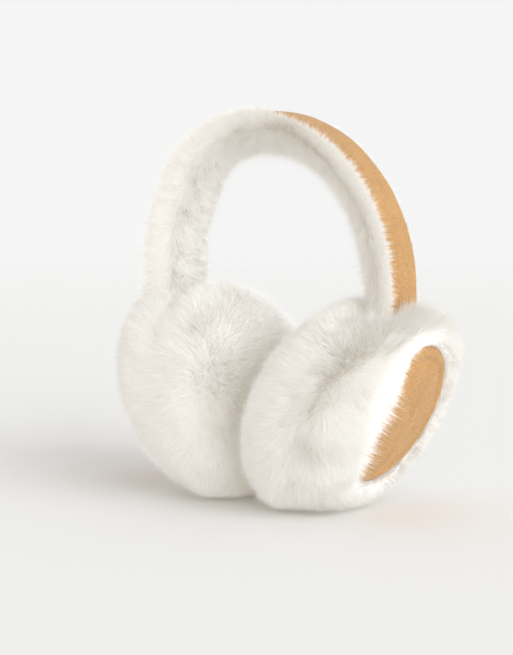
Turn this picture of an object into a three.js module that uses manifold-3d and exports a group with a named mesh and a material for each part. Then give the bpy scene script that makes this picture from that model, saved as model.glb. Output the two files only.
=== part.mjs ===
import * as THREE from 'three';
import { mergeVertices } from 'three/addons/utils/BufferGeometryUtils.js';
import Module from 'manifold-3d';

// Fur earmuffs that stand on their two ear pads. Millimetres, +Z up, +X through both pads, front at -Y.
// The origin is on the surface they stand on, below the middle of their outline.

// Ear pads
const PAD_RADIUS = 62; // to the tips of the pile, at the widest section
const PAD_INNER_HALF = 41; // from the widest section to the face that lies on the ear
const PAD_OUTER_HALF = 31.5; // from the widest section to the crest of the ring round the disc
const PAD_ROUNDING = 2.6; // exponent of the superellipse from its widest section to the ear
const RIGHT_TILT_DEG = 24; // bottoms lean towards each other
const LEFT_TILT_DEG = 16; // stands more upright than the right one
const PAD_LIFT = 14.5; // how far the outer face sits up the tilted pad
const PAD_SETTLE = 3.5; // height pressed flat by the weight
const PADS_GAP = 1.2; // between the two pads where they meet
const PAD_PRESS = 4.5; // depth that each pad is flattened by the other
const RING_RADIUS = 45.5; // crest of the fur ring
const RING_ROUNDING = 2.1; // exponent of the superellipse from the widest section to the crest
const RING_DEPTH = 3.8; // from the crest down to the edge of the disc

// Parting of the fur round the rim of each pad
const PARTING_STATION = 6.5; // from the widest section towards the disc
const PARTING_DEPTH = 5;
const PARTING_WIDTH = 7;
const PARTING_SHALLOW = 0.3; // share of the depth where it fades
const PARTING_DEG = -68; // from the top of the pad round to its front
const PARTING_SPREAD_DEG = 46;

// Locks of the fur
const LOCK_RISE = 4.5; // highest above the backing
const LOCK_LENGTH = 27;
const LOCK_WIDTH = 19;
const LOCK_THICKNESS = 7;
const LOCK_SWAY = 4; // how far a tip wanders sideways
const LOCK_UNEVEN = 0.1; // share by which locks differ in width and spacing
const LOCK_SIDES = 5;

// Suede discs
const DISC_RADIUS = 39;
const DISC_WALL = 2;
const DISC_DOME = 4;

// Headband
const BAND_TOP = 202; // overall height
const BAND_WIDTH = 38; // over the locks
const BAND_PILE = 15; // depth of the fur below the suede
const BAND_LIP = 1; // fur standing beside the edge of the suede
const BAND_ROUNDING = 2.02; // exponent of the superellipse of the arch
const BAND_FLAT = 0.35; // share of the half width and of the depth left between its round corners
const BAND_ENTRY = 9; // how far each end goes down into its pad
const BAND_STATION = 2; // where it goes in, from the widest section of the pad
const BAND_LEG = 21; // straight length of each end
const BAND_LEAN = 8; // how far the top stands to the left of the middle between its ends
const BAND_LOCK_RISE = 2.5;
const BAND_LOCK_LENGTH = 30;
const BAND_LOCK_WIDTH = 12;
const BAND_LOCK_THICKNESS = 5;
const BAND_LOCK_SWAY = 3;
const SUEDE_WIDTH = 29;
const SUEDE_WALL = 1.8;
const SUEDE_EDGE = 0.6; // its wall at the edge as a share of the wall in the middle

const CLEARANCE = 0.3; // between pieces that seat on each other
const WELD = 0.001;
const PAD_FACETS = 20;
const PAD_ROWS = 12;
const BAND_STEPS = 28;

// A lock from root to tip: distance along it, girth as a share of its width and thickness, and height of its
// middle as a share of its rise.
const LOCK_FORM = [
  { along: 0, girth: 0, height: -1.1 },
  { along: 0.32, girth: 1, height: -0.4 },
  { along: 0.72, girth: 0.8, height: 0.25 },
  { along: 1, girth: 0, height: 0.75 },
];

// Rows of locks on a pad: where the roots lie on the backing, from 0 at the middle of the face that lies on the
// ear to 1 at the crest of the ring, how many locks it has, where it sweeps, -1 to the ear or 1 to the disc, and
// its length as a share of the longest.
const PAD_LOCK_ROWS = [
  { at: 0.2, count: 3, sweep: -1, length: 0.8 },
  { at: 0.36, count: 8, sweep: -1, length: 0.9 },
  { at: 0.51, count: 11, sweep: -1, length: 1 },
  { at: 0.66, count: 11, sweep: -1, length: 1 },
  { at: 0.69, count: 11, sweep: 1, length: 1 },
  { at: 0.85, count: 12, sweep: 1, length: 0.7 },
];

// Soft dents in the face and rim of a pad: place as above, turn from the top to the front in degrees,
// depth as a share of the lock rise and spread as a share of the pad radius.
const PAD_DENTS = [
  { at: 0.3, turn: -35, depth: 0.55, spread: 0.2 },
  { at: 0.42, turn: -105, depth: 0.5, spread: 0.22 },
  { at: 0.22, turn: 150, depth: 0.45, spread: 0.24 },
  { at: 0.5, turn: 60, depth: 0.5, spread: 0.2 },
  { at: 0.8, turn: 120, depth: 0.4, spread: 0.2 },
];

// Profile of the disc: distance from its middle as a share of the radius, rise as a share of the dome.
const DISC_PROFILE = [
  { reach: 0, rise: 1 },
  { reach: 0.35, rise: 0.9 },
  { reach: 0.62, rise: 0.66 },
  { reach: 0.82, rise: 0.36 },
  { reach: 0.88, rise: 0.22 },
  { reach: 0.94, rise: 0.26 },
  { reach: 1, rise: 0 },
];

// Rows of locks on the headband: distance across as a share of the half width, height as a share of the pile,
// which way it stands across and inwards, and where its locks start as a share of their spacing.
const BAND_LOCK_ROWS = [
  { across: 1, height: 0.4, stands: 1, inward: 0.15, shift: 0 },
  { across: -1, height: 0.4, stands: -1, inward: 0.15, shift: 0.5 },
  { across: 0.45, height: 1, stands: 0.25, inward: 1, shift: 0.5 },
  { across: -0.45, height: 1, stands: -0.25, inward: 1, shift: 0 },
];
const BAND_LOCKS_PER_ROW = 9;
const BAND_LOCKS_CLEAR = 13; // from the locks of the pads up to the lowest of the headband

const INNER_SHARE = 0.6; // of the backing's profile lies on the ear side of the widest section
const QUARTER = Math.PI / 2;
const BACKING_RADIUS = PAD_RADIUS - LOCK_RISE;
const BACKING_INNER = PAD_INNER_HALF - LOCK_RISE;
const BACKING_RING = RING_RADIUS - LOCK_RISE;
const BACKING_LENGTH = BACKING_RADIUS + BACKING_INNER + PAD_OUTER_HALF; // from the middle of the face to the crest
const DISC_STATION = PAD_OUTER_HALF - RING_DEPTH;
const BAND_HALF = BAND_WIDTH / 2 - BAND_LOCK_RISE;
const BAND_DEPTH = BAND_PILE - BAND_LOCK_RISE;

const wasm = await Module();
wasm.setup();

// Geometry with shared vertices, position only and no collapsed triangles
function welded(geometry) {
  const bare = geometry.clone();
  bare.deleteAttribute('normal');
  bare.deleteAttribute('uv');
  const merged = mergeVertices(bare, WELD);
  const corners = merged.index.array;
  const kept = [];
  for (let i = 0; i < corners.length; i += 3) {
    const [a, b, c] = [corners[i], corners[i + 1], corners[i + 2]];
    if (a !== b && b !== c && c !== a) kept.push(a, b, c);
  }
  merged.setIndex(kept);
  return merged;
}

function toSolid(geometry) {
  const merged = welded(geometry);
  const vertProperties = new Float32Array(merged.attributes.position.array);
  const triVerts = new Uint32Array(merged.index.array);
  return new wasm.Manifold(new wasm.Mesh({ numProp: 3, vertProperties, triVerts }));
}

function toGeometry(solid) {
  const mesh = solid.getMesh();
  const geometry = new THREE.BufferGeometry();
  geometry.setAttribute('position', new THREE.BufferAttribute(new Float32Array(mesh.vertProperties), 3));
  geometry.setIndex(new THREE.BufferAttribute(new Uint32Array(mesh.triVerts), 1));
  geometry.computeVertexNormals();
  return geometry;
}

// Moves every vertex of a geometry to where place(x, y, z) puts it
function reshape(geometry, place) {
  const positions = geometry.attributes.position;
  for (let i = 0; i < positions.count; i += 1) {
    const point = place(positions.getX(i), positions.getY(i), positions.getZ(i));
    positions.setXYZ(i, point.x, point.y, point.z);
  }
  return geometry;
}

// A superellipse quarter: 0 at its start on the axis of cosine, 1 at its end
function rounded(angle, exponent) {
  return {
    cosine: Math.max(Math.cos(angle), 0) ** (2 / exponent),
    sine: Math.max(Math.sin(angle), 0) ** (2 / exponent),
  };
}

function bell(distance, spread) {
  return Math.exp(-((distance / spread) ** 2));
}

// A repeatable value from -1 to 1 that differs from one lock to the next
function unevenness(lockIndex, rowIndex) {
  return Math.sin(7 * lockIndex + 3 * rowIndex);
}

function turnApart(a, b) {
  return Math.abs(THREE.MathUtils.euclideanModulo(a - b + Math.PI, 2 * Math.PI) - Math.PI);
}

// Backing of a pad in its own frame: station along the pad's axis and radius about it
function backingProfile(at) {
  if (at < INNER_SHARE) {
    const { cosine, sine } = rounded(QUARTER * (1 - at / INNER_SHARE), PAD_ROUNDING);
    return { station: -BACKING_INNER * sine, radius: BACKING_RADIUS * cosine };
  }
  const { cosine, sine } = rounded((QUARTER * (at - INNER_SHARE)) / (1 - INNER_SHARE), RING_ROUNDING);
  return {
    station: PAD_OUTER_HALF * sine,
    radius: BACKING_RING + (BACKING_RADIUS - BACKING_RING) * cosine,
  };
}

function partingDepth(station, turn) {
  const centre = THREE.MathUtils.degToRad(PARTING_DEG);
  const spread = THREE.MathUtils.degToRad(PARTING_SPREAD_DEG);
  const strength = PARTING_SHALLOW + (1 - PARTING_SHALLOW) * bell(turnApart(turn, centre), spread);
  return PARTING_DEPTH * strength * bell(station - PARTING_STATION, PARTING_WIDTH);
}

// x along the pad's axis to the disc, z up the tilted pad, y to the back; turn 0 is the top, -90 the front
function padPoint(station, radius, turn, lift) {
  return new THREE.Vector3(station, radius * Math.sin(turn), radius * Math.cos(turn) + lift);
}

function backingPoint(at, turn) {
  const { station, radius } = backingProfile(at);
  const lift = PAD_LIFT * Math.max(station / PAD_OUTER_HALF, 0);
  const point = padPoint(station, radius - partingDepth(station, turn), turn, lift);
  for (const dent of PAD_DENTS) {
    const centre = backingProfile(dent.at);
    const middle = padPoint(centre.station, centre.radius, THREE.MathUtils.degToRad(dent.turn), 0);
    const fade = bell(point.distanceTo(middle), dent.spread * PAD_RADIUS);
    const inward = point.clone().normalize().multiplyScalar(-dent.depth * LOCK_RISE * fade);
    point.add(inward);
  }
  return point;
}

// Distance above the disc's edge of its upper face
function discRise(reach) {
  const next = DISC_PROFILE.findIndex((row) => row.reach >= reach);
  if (next <= 0) return DISC_DOME * DISC_PROFILE[0].rise;
  const [from, to] = [DISC_PROFILE[next - 1], DISC_PROFILE[next]];
  const share = (reach - from.reach) / (to.reach - from.reach);
  return DISC_DOME * THREE.MathUtils.lerp(from.rise, to.rise, share);
}

// The backing as a turned body with the seat of the disc in its outer face
function padBacking() {
  const profile = [];
  for (let i = 0; i <= PAD_ROWS; i += 1) profile.push({ at: i / PAD_ROWS });
  const seat = DISC_STATION - CLEARANCE;
  profile.push({ station: DISC_STATION, radius: DISC_RADIUS + CLEARANCE });
  profile.push({ station: seat - DISC_WALL, radius: DISC_RADIUS + CLEARANCE });
  for (const { reach } of DISC_PROFILE.toReversed().slice(1)) {
    profile.push({ station: seat - DISC_WALL + discRise(reach), radius: DISC_RADIUS * reach });
  }
  const outline = profile.map((row, i) => new THREE.Vector2(row.radius ?? 1, i));
  outline[0].x = 0;
  const turned = new THREE.LatheGeometry(outline, PAD_FACETS);
  return reshape(turned, (x, y, z) => {
    const row = profile[Math.round(y)];
    const turn = Math.atan2(-x, z);
    return row.at === undefined ? padPoint(row.station, row.radius, turn, PAD_LIFT) : backingPoint(row.at, turn);
  });
}

// One lock of fur: follow(share) gives the surface under it from root to tip, its normal and the way it runs.
function lock(follow, size) {
  const outline = LOCK_FORM.map(({ girth }, i) => new THREE.Vector2(girth, i));
  return reshape(new THREE.LatheGeometry(outline, LOCK_SIDES), (x, y, z) => {
    const { along, height } = LOCK_FORM[Math.round(y)];
    const { point, normal, flow } = follow(along);
    const across = new THREE.Vector3().crossVectors(flow, normal);
    return point
      .addScaledVector(normal, height * size.rise + (z * size.thickness) / 2)
      .addScaledVector(across, (x * size.width) / 2);
  });
}

function padLock(row, turn, variation) {
  const step = 0.01;
  const size = { rise: LOCK_RISE, width: LOCK_WIDTH * (1 + LOCK_UNEVEN * variation), thickness: LOCK_THICKNESS };
  return lock((share) => {
    const travel = (share * row.length * LOCK_LENGTH) / BACKING_LENGTH;
    const at = THREE.MathUtils.clamp(row.at + row.sweep * travel, step, 1 - step);
    const here = turn + (share * LOCK_SWAY * variation) / BACKING_RADIUS;
    const point = backingPoint(at, here);
    const onward = backingPoint(at + step, here).sub(backingPoint(at - step, here)).normalize();
    const around = backingPoint(at, here + step).sub(backingPoint(at, here - step)).normalize();
    const normal = new THREE.Vector3().crossVectors(onward, around).normalize();
    return { point, normal, flow: onward.multiplyScalar(row.sweep) };
  }, size);
}

function padLocks() {
  const locks = [];
  PAD_LOCK_ROWS.forEach((row, order) => {
    for (let i = 0; i < row.count; i += 1) {
      const variation = unevenness(i, order);
      const turn = (2 * Math.PI * (i + 0.5 * (order % 2) + LOCK_UNEVEN * variation)) / row.count;
      const at = row.at + (LOCK_UNEVEN * variation) / PAD_LOCK_ROWS.length;
      locks.push(padLock({ ...row, at }, turn, variation));
    }
  });
  return locks;
}

// Centreline of the headband's seat, where the fur's backing meets the suede
class BandArch extends THREE.Curve {
  constructor(halfSpan, spring, top, end) {
    super();
    Object.assign(this, { halfSpan, spring, top, end });
  }

  getPoint(share, target = new THREE.Vector3()) {
    const leg = this.spring - this.end;
    const arc = (QUARTER * (this.halfSpan + this.top - this.spring)) / 2;
    const travel = Math.min(share, 1 - share) * 2 * (leg + arc);
    const side = share < 0.5 ? 1 : -1;
    if (travel < leg) return target.set(side * this.halfSpan, 0, this.end + travel);
    const { cosine, sine } = rounded((QUARTER * (travel - leg)) / arc, BAND_ROUNDING);
    const x = side * this.halfSpan * cosine - BAND_LEAN * sine ** 2;
    return target.set(x, 0, this.spring + (this.top - this.spring) * sine);
  }
}

// Sections across the headband: x across its width, y outwards from the seat of the suede
function furSection() {
  const seat = SUEDE_WIDTH / 2 + CLEARANCE;
  const section = new THREE.Shape();
  section.moveTo(-seat, 0);
  section.lineTo(seat, 0);
  section.lineTo(seat, BAND_LIP);
  section.quadraticCurveTo(BAND_HALF, BAND_LIP, BAND_HALF, -BAND_DEPTH * BAND_FLAT);
  section.quadraticCurveTo(BAND_HALF, -BAND_DEPTH, BAND_HALF * BAND_FLAT, -BAND_DEPTH);
  section.lineTo(-BAND_HALF * BAND_FLAT, -BAND_DEPTH);
  section.quadraticCurveTo(-BAND_HALF, -BAND_DEPTH, -BAND_HALF, -BAND_DEPTH * BAND_FLAT);
  section.quadraticCurveTo(-BAND_HALF, BAND_LIP, -seat, BAND_LIP);
  return section;
}

function suedeSection() {
  const half = SUEDE_WIDTH / 2;
  const section = new THREE.Shape();
  section.moveTo(-half, CLEARANCE);
  section.lineTo(half, CLEARANCE);
  section.lineTo(half, CLEARANCE + SUEDE_WALL * SUEDE_EDGE);
  section.quadraticCurveTo(
    0,
    CLEARANCE + SUEDE_WALL * (2 - SUEDE_EDGE),
    -half,
    CLEARANCE + SUEDE_WALL * SUEDE_EDGE,
  );
  return section;
}

function slotSection() {
  const half = BAND_HALF + CLEARANCE;
  const low = -BAND_DEPTH - CLEARANCE;
  const high = 2 * CLEARANCE + SUEDE_WALL;
  const section = new THREE.Shape();
  section.moveTo(-half, low);
  section.lineTo(half, low);
  section.lineTo(half, high);
  section.lineTo(-half, high);
  return section;
}

// The room that the suede takes above its seat
function suedeSpace() {
  const half = SUEDE_WIDTH / 2 + CLEARANCE;
  const section = new THREE.Shape();
  section.moveTo(-half, 0);
  section.lineTo(half, 0);
  section.lineTo(half, BAND_LOCK_LENGTH);
  section.lineTo(-half, BAND_LOCK_LENGTH);
  return section;
}

function swept(section, path, steps) {
  return new THREE.ExtrudeGeometry(section, {
    steps,
    extrudePath: path,
    bevelEnabled: false,
    curveSegments: 2,
  });
}

function bandLocks(path) {
  const locks = [];
  const start = (BAND_LEG + BAND_LOCK_LENGTH + BAND_LOCKS_CLEAR) / path.getLength();
  const span = 1 - 2 * start;
  const length = BAND_LOCK_LENGTH / path.getLength();
  for (const [order, row] of BAND_LOCK_ROWS.entries()) {
    for (let i = 0; i < BAND_LOCKS_PER_ROW; i += 1) {
      const root = start + (span * (i + row.shift)) / (BAND_LOCKS_PER_ROW - 0.5);
      const variation = unevenness(i, order);
      const size = { rise: BAND_LOCK_RISE, width: BAND_LOCK_WIDTH, thickness: BAND_LOCK_THICKNESS };
      const down = root < 0.5 ? -1 : 1;
      locks.push(lock((share) => {
        const here = THREE.MathUtils.clamp(root + down * share * length, 0, 1);
        const flow = path.getTangent(here).multiplyScalar(down);
        const outward = new THREE.Vector3(flow.z, 0, -flow.x).multiplyScalar(down);
        const point = path
          .getPoint(here)
          .add(new THREE.Vector3(0, row.across * BAND_HALF, 0))
          .addScaledVector(outward, -row.height * BAND_DEPTH);
        const normal = new THREE.Vector3(0, row.stands, 0).addScaledVector(outward, -row.inward).normalize();
        const across = new THREE.Vector3().crossVectors(flow, normal);
        point.addScaledVector(across, share * BAND_LOCK_SWAY * variation);
        return { point, normal, flow };
      }, size));
    }
  }
  return locks;
}

// The space below the floor or beyond the middle plane, as a block to cut away
function block(low, high) {
  const size = new THREE.Vector3().subVectors(high, low);
  const centre = new THREE.Vector3().addVectors(high, low).divideScalar(2);
  return new THREE.BoxGeometry(size.x, size.y, size.z).translate(centre.x, centre.y, centre.z);
}

function joined(geometries) {
  return geometries.map(toSolid).reduce((whole, next) => whole.add(next));
}

const mirror = new THREE.Matrix4().makeScale(-1, 1, 1);

function mirrored(geometry) {
  const other = geometry.clone().applyMatrix4(mirror);
  const corners = other.index.array;
  for (let i = 0; i < corners.length; i += 3) [corners[i], corners[i + 1]] = [corners[i + 1], corners[i]];
  other.computeVertexNormals();
  return other;
}

// A pad on the positive side is placed by its backing: sunk by PAD_SETTLE into the floor and by PAD_PRESS into
// the middle plane, which the cuts in padFur then take away.
function padPlacement(tiltDeg) {
  const tilt = THREE.MathUtils.degToRad(tiltDeg);
  const turned = new THREE.Matrix4().makeRotationY(tilt);
  const backing = padBacking().applyMatrix4(turned);
  backing.computeBoundingBox();
  const x = PADS_GAP / 2 - PAD_PRESS - backing.boundingBox.min.x;
  const z = -PAD_SETTLE - backing.boundingBox.min.z;
  return { tilt, x, z, matrix: new THREE.Matrix4().makeTranslation(x, 0, z).multiply(turned) };
}

const PADS = [
  { word: 'right', side: 1, placement: padPlacement(RIGHT_TILT_DEG) },
  { word: 'left', side: -1, placement: padPlacement(LEFT_TILT_DEG) },
];

// The headband comes down into the top of the right pad over its widest section, and as far out into the left.
const padCrown = new THREE.Vector3(BAND_STATION, 0, BACKING_RADIUS).applyMatrix4(PADS[0].placement.matrix);
const seatHalfSpan = padCrown.x + BAND_PILE / 2 - SUEDE_WALL / 2;
const seatTop = BAND_TOP - SUEDE_WALL - CLEARANCE;
const bandEnd = padCrown.z - BAND_ENTRY;
const arch = new BandArch(seatHalfSpan, bandEnd + BAND_LEG, seatTop, bandEnd);
const leg = new THREE.LineCurve3(
  new THREE.Vector3(seatHalfSpan, 0, bandEnd - CLEARANCE),
  new THREE.Vector3(seatHalfSpan, 0, bandEnd + BAND_LEG + LOCK_LENGTH),
);

// The fur of a pad on the positive side, in the pad's own frame
function padFur({ matrix }) {
  const far = 3 * PAD_RADIUS;
  const floor = block(new THREE.Vector3(-far, -far, -far), new THREE.Vector3(far, far, 0));
  const middle = block(new THREE.Vector3(-far, -far, -far), new THREE.Vector3(PADS_GAP / 2, far, far));
  const disc = discSeatSpace().applyMatrix4(matrix);
  const pile = joined([padBacking(), ...padLocks()].map((piece) => piece.applyMatrix4(matrix)));
  const cuts = joined([floor, middle, disc]).add(toSolid(swept(slotSection(), leg, 1)));
  return toGeometry(pile.subtract(cuts)).applyMatrix4(matrix.clone().invert());
}

// What the disc needs free round it and in front of it
function discSeatSpace() {
  const edge = DISC_RADIUS + CLEARANCE;
  const low = -DISC_WALL - CLEARANCE;
  const outline = [
    new THREE.Vector2(0, low + DISC_DOME),
    ...DISC_PROFILE.slice(1, -1).map(({ reach }) => new THREE.Vector2(DISC_RADIUS * reach, low + discRise(reach))),
    new THREE.Vector2(edge, low),
    new THREE.Vector2(edge, RING_DEPTH + LOCK_LENGTH),
    new THREE.Vector2(0, RING_DEPTH + LOCK_LENGTH),
  ];
  return discPlaced(new THREE.LatheGeometry(outline, PAD_FACETS));
}

// Turned about the pad's axis: the lathe's y becomes x, out through the disc
function discPlaced(geometry) {
  return reshape(geometry, (x, y, z) => new THREE.Vector3(DISC_STATION + y, -x, z + PAD_LIFT));
}

function suedeDisc() {
  const face = (drop) => ({ reach }) => new THREE.Vector2(DISC_RADIUS * reach, discRise(reach) - drop);
  const lower = DISC_PROFILE.map(face(DISC_WALL));
  const upper = DISC_PROFILE.map(face(0)).toReversed();
  return discPlaced(new THREE.LatheGeometry([...lower, ...upper], PAD_FACETS));
}

const fur = () => new THREE.MeshStandardMaterial({ color: 0xf0ece3, roughness: 0.95, metalness: 0 });
const suede = () => new THREE.MeshStandardMaterial({ color: 0xcf9558, roughness: 0.9, metalness: 0 });

function named(name, geometry, material) {
  const mesh = new THREE.Mesh(geometry, material);
  mesh.name = name;
  return mesh;
}

const earmuffs = new THREE.Group();
for (const { word, side, placement } of PADS) {
  const handed = (geometry) => (side > 0 ? geometry : mirrored(geometry));
  const pad = new THREE.Group();
  pad.position.set(side * placement.x, 0, placement.z);
  pad.rotation.y = side * placement.tilt;
  pad.add(named(`ear_pad_fur_${word}`, handed(padFur(placement)), fur()));
  pad.add(named(`suede_disc_${word}`, handed(welded(suedeDisc())), suede()));
  earmuffs.add(pad);
}
const bandPile = joined([swept(furSection(), arch, BAND_STEPS), ...bandLocks(arch)]);
const bandFur = bandPile.subtract(toSolid(swept(suedeSpace(), arch, BAND_STEPS)));
earmuffs.add(named('headband_fur', toGeometry(bandFur), fur()));
earmuffs.add(named('headband_suede', swept(suedeSection(), arch, BAND_STEPS), suede()));

// The pads meet beside the origin, because the left one reaches less far out than the right one.
earmuffs.updateMatrixWorld(true);
const middle = new THREE.Box3().setFromObject(earmuffs, true).getCenter(new THREE.Vector3());
for (const piece of earmuffs.children) piece.position.sub(new THREE.Vector3(middle.x, middle.y, 0));

export default earmuffs;
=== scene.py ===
import math

import bpy
import numpy as np
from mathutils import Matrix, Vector
from mathutils.kdtree import KDTree


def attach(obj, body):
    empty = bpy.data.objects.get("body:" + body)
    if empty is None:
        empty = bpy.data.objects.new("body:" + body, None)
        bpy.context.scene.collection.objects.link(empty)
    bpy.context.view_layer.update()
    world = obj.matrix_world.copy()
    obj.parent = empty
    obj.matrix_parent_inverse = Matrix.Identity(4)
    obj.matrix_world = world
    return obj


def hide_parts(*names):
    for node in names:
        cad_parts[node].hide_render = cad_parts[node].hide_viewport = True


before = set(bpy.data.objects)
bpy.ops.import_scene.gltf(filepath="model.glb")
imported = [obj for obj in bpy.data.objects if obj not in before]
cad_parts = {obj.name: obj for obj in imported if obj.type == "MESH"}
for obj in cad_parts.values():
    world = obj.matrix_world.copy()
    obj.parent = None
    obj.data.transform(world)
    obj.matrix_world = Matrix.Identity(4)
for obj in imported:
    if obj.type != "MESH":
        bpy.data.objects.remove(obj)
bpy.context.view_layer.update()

bl_info = {
    "name": "Fur Earmuffs",
    "version": (1, 0, 0),
    "blender": (4, 5, 0),
    "location": "3D View > Sidebar > Earmuffs",
    "description": "Makes the fur, the suede and the studio of a pair of fur earmuffs",
    "category": "Add Mesh",
}

SEED = 40
SHADES = [0.5, 0.3, 0.2]  # shares of the white, cream and bright hairs
SOFT = 0.5  # share of the pile's own normal in the shading of a hair
TUFT = 12  # hairs to each tuft, on average
MM = 0.001

# Sizes of the solids that these pieces stand for, in metres
MIDDLE_X, MIDDLE_Y = -4.512 * MM, 0.527 * MM
PADS_GAP = 1.2 * MM
PAD_ROUNDING, RING_ROUNDING = 2.4, 2.1
PAD_RADIUS, PAD_INNER_HALF, PAD_OUTER_HALF = 57.5 * MM, 36.5 * MM, 31.5 * MM
RING_RADIUS, PAD_LIFT = 41 * MM, 14.5 * MM
INNER_SHARE = 0.6  # place along a pad's profile where it is widest
LIP_SHARE, LIP_FALL, LIP_RUN = 0.08, 3.2 * MM, 1.4 * MM  # from the crest of the ring down to the disc
FRONT = -84  # turn of the parting and the fringe round a pad, in degrees
PARTING_STATION, PARTING_WIDTH, PARTING_DEPTH = 6.5 * MM, 4.5 * MM, 1.8 * MM
DISC_RADIUS, DISC_STATION, DISC_DOME, DISC_WALL = 39 * MM, 27.7 * MM, 4 * MM, 2 * MM
DISC_SEAT = 24.2 * MM
BAND_TOP, BAND_END, BAND_LEG, BAND_HALF_SPAN = 202 * MM, 90.175 * MM, 21 * MM, 71.48 * MM
BAND_ROUNDING, BAND_HALF, BAND_DEPTH, BAND_LEAN = 2.02, 16.5 * MM, 12.5 * MM, 8 * MM
SUEDE_HALF, SUEDE_WALL, CLEARANCE = 14.5 * MM, 1.8 * MM, 0.3 * MM
BACKING_EDGE, BACKING_RISE = 14.7 * MM, 1 * MM  # half width under the suede, and rise of the edges beside it
SPRING = BAND_END + BAND_LEG
SEAT_TOP = BAND_TOP - SUEDE_WALL - CLEARANCE

# Where a pad stands: distance of its middle from the plane between the pads, height, and tilt in degrees.
# Then how deeply its fur parts across the rim, how proud the fur stands at the front of its ring, and how far
# all of it is swept one way.
PAD_PLACES = {
    "right": {
        "side": 1, "out": 39.665 * MM, "height": 47.46 * MM, "tilt": 24.0,
        "parted": 0.4, "proud": 3 * MM, "swept": 0.0,
    },
    "left": {
        "side": -1, "out": 36.389 * MM, "height": 50.621 * MM, "tilt": 16.0,
        "parted": 0.0, "proud": 0.0, "swept": 1.0,
    },
}

# Soft dents in a pad: place along its profile, turn in degrees, depth in mm and spread in mm
DENTS = [
    (0.30, -35, 0.3, 12.4),
    (0.42, -105, 0.2, 13.6),
    (0.22, 150, 0.8, 14.9),
    (0.50, 60, 0.9, 12.4),
    (0.80, 120, 0.8, 12.4),
]

# The lamp, the colours of the room, the size of the paper and the aim of the camera
KEY_STRENGTH, KEY_SPREAD, KEY_COLOUR = 2.5, math.radians(60), (0.94, 0.975, 1.0)
KEY_AZIMUTH, KEY_ELEVATION, KEY_DISTANCE = math.radians(79), math.radians(15), 1.5
HORIZON, ZENITH, WARM_SIDE = (0.914, 0.914, 0.912), (0.74, 0.74, 0.74), (0.74, 0.685, 0.61)
WARM_TURN = math.radians(75)  # from the camera to its left
PAPER_RADIUS = 2.4
LENS, AIM_HEIGHT, AIM_LEFT, AIM_DOWN = 84.0, 0.1, 0.0128, 0.0107


# Settings


class FurSettings(bpy.types.PropertyGroup):
    """The pile of the pads and the headband"""

    pile: bpy.props.FloatProperty(
        name="Pile", description="Length of the hairs that don't stand out", default=0.0088, unit="LENGTH",
        subtype="DISTANCE",
    )
    hair: bpy.props.FloatProperty(
        name="Hair", description="Width of a hair at its root", default=0.00021, unit="LENGTH",
        subtype="DISTANCE",
    )
    inset: bpy.props.FloatProperty(
        name="Inset", description="Depth of the backing below the solid", default=0.0022, unit="LENGTH",
        subtype="DISTANCE",
    )
    clumping: bpy.props.FloatProperty(
        name="Clumping", description="How far hairs lean together at their tips", default=0.45,
        subtype="FACTOR",
    )
    pad_hairs: bpy.props.IntProperty(
        name="Pad hairs", description="Hairs on each half of a pad", default=176000
    )
    band_hairs: bpy.props.IntProperty(
        name="Headband hairs", description="Hairs on the headband", default=168000
    )
    tip: bpy.props.FloatVectorProperty(
        name="Tip", description="Colour of the tips", default=(0.972, 0.966, 0.955), subtype="COLOR"
    )
    # The root colour is darker and warmer than the tips: partly the cream of the undercoat, and partly
    # painted shade for the depths of the pile.
    root: bpy.props.FloatVectorProperty(
        name="Root", description="Colour near the backing", default=(0.9, 0.84, 0.74), subtype="COLOR"
    )


class SuedeSettings(bpy.types.PropertyGroup):
    """The strip on the headband and the discs"""

    tan: bpy.props.FloatVectorProperty(
        name="Tan", description="Colour of the nap", default=(0.505, 0.28, 0.112), subtype="COLOR"
    )
    nap: bpy.props.FloatProperty(
        name="Nap", description="Height of the nap's grain", default=0.0003, unit="LENGTH", subtype="DISTANCE"
    )
    rim: bpy.props.FloatProperty(
        name="Rim", description="Height of the padded rim of a disc", default=0.0009, unit="LENGTH",
        subtype="DISTANCE",
    )


class StudioSettings(bpy.types.PropertyGroup):
    """The plain studio"""

    azimuth: bpy.props.FloatProperty(
        name="Azimuth", description="Turn of the camera from the front", default=math.radians(34),
        subtype="ANGLE", unit="ROTATION",
    )
    elevation: bpy.props.FloatProperty(
        name="Elevation", description="Height of the camera above level", default=math.radians(5.5),
        subtype="ANGLE", unit="ROTATION",
    )
    distance: bpy.props.FloatProperty(
        name="Distance", description="From the camera to the earmuffs", default=0.8, unit="LENGTH",
        subtype="DISTANCE",
    )
    paper: bpy.props.FloatVectorProperty(
        name="Paper", description="Colour of the floor and backdrop", default=(0.915, 0.913, 0.908),
        subtype="COLOR",
    )


# Materials


class Value:
    """A socket of a shader tree that can be used in sums"""

    def __init__(self, shading, socket):
        self.shading = shading
        self.socket = socket

    def _math(self, operation, first, second):
        return self.shading.node("ShaderNodeMath", {"operation": operation}, {0: first, 1: second})

    def __add__(self, other):
        return self._math("ADD", self, other)

    def __sub__(self, other):
        return self._math("SUBTRACT", self, other)

    def __mul__(self, other):
        return self._math("MULTIPLY", self, other)

    def __rsub__(self, other):
        return self._math("SUBTRACT", other, self)

    __radd__ = __add__
    __rmul__ = __mul__


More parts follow.
